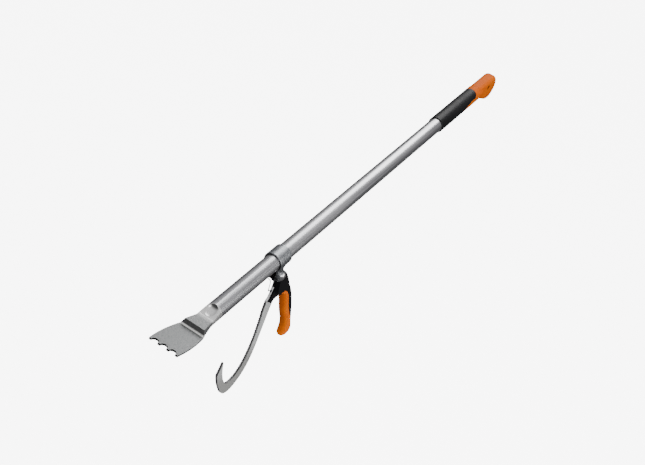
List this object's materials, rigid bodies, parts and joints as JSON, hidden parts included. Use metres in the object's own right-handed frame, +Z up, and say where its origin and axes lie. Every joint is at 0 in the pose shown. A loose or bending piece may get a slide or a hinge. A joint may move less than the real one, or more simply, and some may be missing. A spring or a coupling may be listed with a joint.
{
  "type": "felling lever with turning hook",
  "caption": "Long round felling lever with a notched chisel blade, a swivelling collar that carries a sprung, toothed turning hook with its own grip, and a rear handle with a hang hole.",
  "frame": {"origin": "centre of the hang hole in the top handle, on the tube's axis", "axes": "+X along the tube from the chisel blade towards the top handle, +Y along the hang hole, +Z up with the hook hanging down"},
  "size_m": [1.1861, 0.0556, 0.3005],
  "materials": {
    "tube_aluminium": "satin anodised, drawn lengthwise",
    "blade_steel": "shot-blasted plate, brushed round socket",
    "pin_steel": "plain",
    "ring_steel": "dark spring steel",
    "orange_plastic": "satin",
    "black_grip": "soft touch",
    "screw_steel": "blackened",
    "collar_metal": "satin cast",
    "bush_plastic": "plain",
    "bolt_steel": "bright zinc",
    "sleeve_bronze": "plain bearing",
    "spring_steel": "drawn wire",
    "hook_steel": "light zinc grey",
    "black_plastic": "satin",
    "orange_sleeve": "soft satin"
  },
  "bodies": {
    "lever": {"shaft_tube": "tube_aluminium", "blade_head": "blade_steel", "head_pin": "pin_steel", "front_snap_ring": "ring_steel", "rear_snap_ring": "ring_steel", "top_handle": "orange_plastic", "top_grip": "black_grip", "top_handle_screw": "screw_steel"},
    "collar": {"collar": "collar_metal", "front_bush": "bush_plastic", "rear_bush": "bush_plastic", "pivot_bolt": "bolt_steel", "pivot_washer": "bolt_steel", "pivot_nut": "bolt_steel", "pivot_sleeve": "sleeve_bronze", "hook_spring": "spring_steel"},
    "hook": {"hook_plate": "hook_steel", "handle_shell_right": "black_plastic", "handle_shell_left": "black_plastic", "grip_sleeve": "orange_sleeve", "shell_screws": "screw_steel"}
  },
  "joints": [
    {"name": "collar_swivel", "type": "hinge", "parent": "lever", "child": "collar", "pos_m": [-0.822, 0, 0], "axis": [1, 0, 0], "continuous": true},
    {"name": "hook_pivot", "type": "hinge", "parent": "collar", "child": "hook", "pos_m": [-0.822, 0, -0.0355], "axis": [0, 1, 0], "range_deg": [-48, 50], "stiffness_Nm_per_rad": 0.4, "deforming": ["hook_spring"]}
  ]
}
